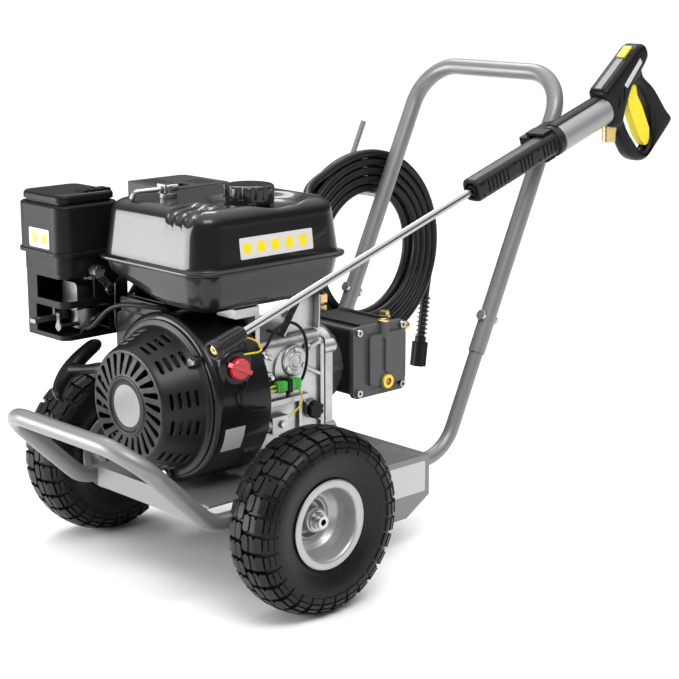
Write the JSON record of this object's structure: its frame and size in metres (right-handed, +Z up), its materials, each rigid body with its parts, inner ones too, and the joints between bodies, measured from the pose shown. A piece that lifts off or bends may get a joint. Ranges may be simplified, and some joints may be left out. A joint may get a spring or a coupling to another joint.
{
  "type": "pressure washer",
  "caption": "Petrol-engined cold-water pressure washer on a two-wheeled tubular frame, with a push handle, crank pump, hanging hose coil and a clipped spray lance with trigger gun.",
  "frame": {"origin": "on the floor, in the middle of the machine's length and width", "axes": "+X back to the push handle, +Y to the side that carries the hose coil, +Z up"},
  "size_m": [1.0768, 0.565, 0.732],
  "materials": {
    "frame_paint": "satin powder coat",
    "steel": "bright plated",
    "rubber_black": "matt",
    "tyre_black": "matt, moulded tread",
    "rim_grey": "satin paint",
    "plastic_black": "satin moulded",
    "cast_aluminium": "bright cast",
    "engine_black": "semi-gloss black",
    "cap_black": "gloss",
    "vent_metal": "dull",
    "cast_iron": "as cast",
    "forged_steel": "machined",
    "lever_steel": "zinc plated",
    "switch_red": "gloss",
    "wire": "cable sheath",
    "pump_black": "black coated casting",
    "brass": "machined",
    "sight_yellow": "clear lens",
    "stainless": "polished",
    "sleeve_grey": "satin",
    "yellow": "satin",
    "spring_black": "black wire"
  },
  "bodies": {
    "chassis": {"base_plate": "frame_paint", "lower_tubes": "frame_paint", "push_handle": "frame_paint", "front_bumper": "frame_paint", "hose_hook": "frame_paint", "axle": "steel", "fasteners": "steel", "tank_bracket": "steel", "rear_feet": "rubber_black", "fuel_hose": "rubber_black", "hose_coil": "rubber_black", "hose_pump_tail": "rubber_black", "hose_free_tail": "rubber_black", "lance_clip": "plastic_black", "filter_base": "plastic_black", "filter_cover": "plastic_black", "hose_coupling": "plastic_black", "crankcase": "cast_aluminium", "crankcase_cover": "cast_aluminium", "cylinder_head": "cast_aluminium", "carburettor": "cast_aluminium", "fan_cover": "engine_black", "recoil_housing": "engine_black", "fuel_tank": "engine_black", "valve_cover": "engine_black", "muffler": "engine_black", "muffler_guard": "engine_black", "tank_vent": "vent_metal", "wiring": "wire", "pump_flange": "pump_black", "pump_housing": "pump_black", "pump_cover": "pump_black", "pump_head": "pump_black", "pump_fittings": "brass", "sight_glass": "sight_yellow", "hose_bend_spring": "spring_black"},
    "wheel_left": {"tyre_left": "tyre_black", "rim_left": "rim_grey"},
    "wheel_right": {"tyre_right": "tyre_black", "rim_right": "rim_grey"},
    "crank": {"crankshaft": "forged_steel", "flywheel": "cast_iron"},
    "starter": {"pull_grip": "plastic_black"},
    "reel": {"recoil_reel": "plastic_black"},
    "cap": {"fuel_cap": "cap_black"},
    "choke": {"choke_lever": "lever_steel"},
    "throttle": {"throttle_lever": "lever_steel"},
    "fuel_tap": {"fuel_tap_lever": "lever_steel"},
    "switch": {"engine_switch": "switch_red"},
    "oil_filler": {"oil_plug": "plastic_black"},
    "pump_filler": {"pump_oil_cap": "brass"},
    "lance": {"lance_tube": "stainless", "nozzle": "brass", "nozzle_guard": "plastic_black", "lance_grip": "plastic_black", "gun_body": "plastic_black", "gun_inlet": "brass"},
    "trigger": {"trigger": "yellow"},
    "button": {"safety_button": "yellow"},
    "sleeve": {"flow_sleeve": "sleeve_grey"}
  },
  "joints": [
    {"name": "wheel_left_spin", "type": "hinge", "parent": "chassis", "child": "wheel_left", "pos_m": [-0.28796, -0.24, 0.13], "axis": [0, 1, 0], "continuous": true},
    {"name": "wheel_right_spin", "type": "hinge", "parent": "chassis", "child": "wheel_right", "pos_m": [-0.28796, 0.24, 0.13], "axis": [0, 1, 0], "continuous": true},
    {"name": "crank_spin", "type": "hinge", "parent": "chassis", "child": "crank", "pos_m": [-0.21796, -0.008, 0.268], "axis": [1, 0, 0], "continuous": true},
    {"name": "starter_pull", "type": "slide", "parent": "chassis", "child": "starter", "axis": [0, 0.9781, -0.2079], "range_m": [0, 0.09], "stiffness_N_per_m": 120, "springref_m": -0.05},
    {"name": "reel_turn", "type": "hinge", "parent": "chassis", "child": "reel", "pos_m": [-0.39596, -0.008, 0.268], "axis": [-1, 0, 0], "range_deg": [0, 104]},
    {"name": "fuel_cap_turn", "type": "hinge", "parent": "chassis", "child": "cap", "pos_m": [-0.21796, -0.03, 0.54], "axis": [0, 0, 1], "range_deg": [0, 90]},
    {"name": "choke_turn", "type": "hinge", "parent": "chassis", "child": "choke", "pos_m": [-0.39196, 0.199, 0.356], "axis": [0, 1, 0], "range_deg": [0, 30]},
    {"name": "throttle_turn", "type": "hinge", "parent": "chassis", "child": "throttle", "pos_m": [-0.33796, 0.141, 0.398], "axis": [0, 1, 0], "range_deg": [0, 45]},
    {"name": "fuel_tap_turn", "type": "hinge", "parent": "chassis", "child": "fuel_tap", "pos_m": [-0.40396, 0.179, 0.346], "axis": [1, 0, 0], "range_deg": [0, 90]},
    {"name": "switch_turn", "type": "hinge", "parent": "chassis", "child": "switch", "pos_m": [-0.32196, -0.13, 0.325], "axis": [0, 1, 0], "range_deg": [0, 60]},
    {"name": "oil_plug_turn", "type": "hinge", "parent": "chassis", "child": "oil_filler", "pos_m": [-0.16196, -0.1, 0.233], "axis": [0, -1, 0], "range_deg": [0, 90]},
    {"name": "pump_cap_turn", "type": "hinge", "parent": "chassis", "child": "pump_filler", "pos_m": [-0.01196, -0.093, 0.335], "axis": [0, 0, 1], "range_deg": [0, 90]},
    {"name": "lance_lift_out", "type": "slide", "parent": "chassis", "child": "lance", "axis": [0, -1, 0], "range_m": [0, 0.25]},
    {"name": "trigger_pull", "type": "hinge", "parent": "lance", "child": "trigger", "pos_m": [0.43404, -0.19, 0.672], "axis": [0, -1, 0], "range_deg": [0, 5], "stiffness_Nm_per_rad": 4, "springref_deg": -5.73},
    {"name": "safety_press", "type": "slide", "parent": "lance", "child": "button", "axis": [0.6313, 0, -0.7755], "range_m": [0, 0.0025], "stiffness_N_per_m": 1500, "springref_m": -0.001},
    {"name": "flow_sleeve_turn", "type": "hinge", "parent": "lance", "child": "sleeve", "pos_m": [0.31235, -0.19, 0.61394], "axis": [0.9511, 0, 0.309], "range_deg": [-45, 45]}
  ],
  "couplings": [
    {"joint": "reel_turn", "follows": "starter_pull", "rad_per_m": 20}
  ]
}
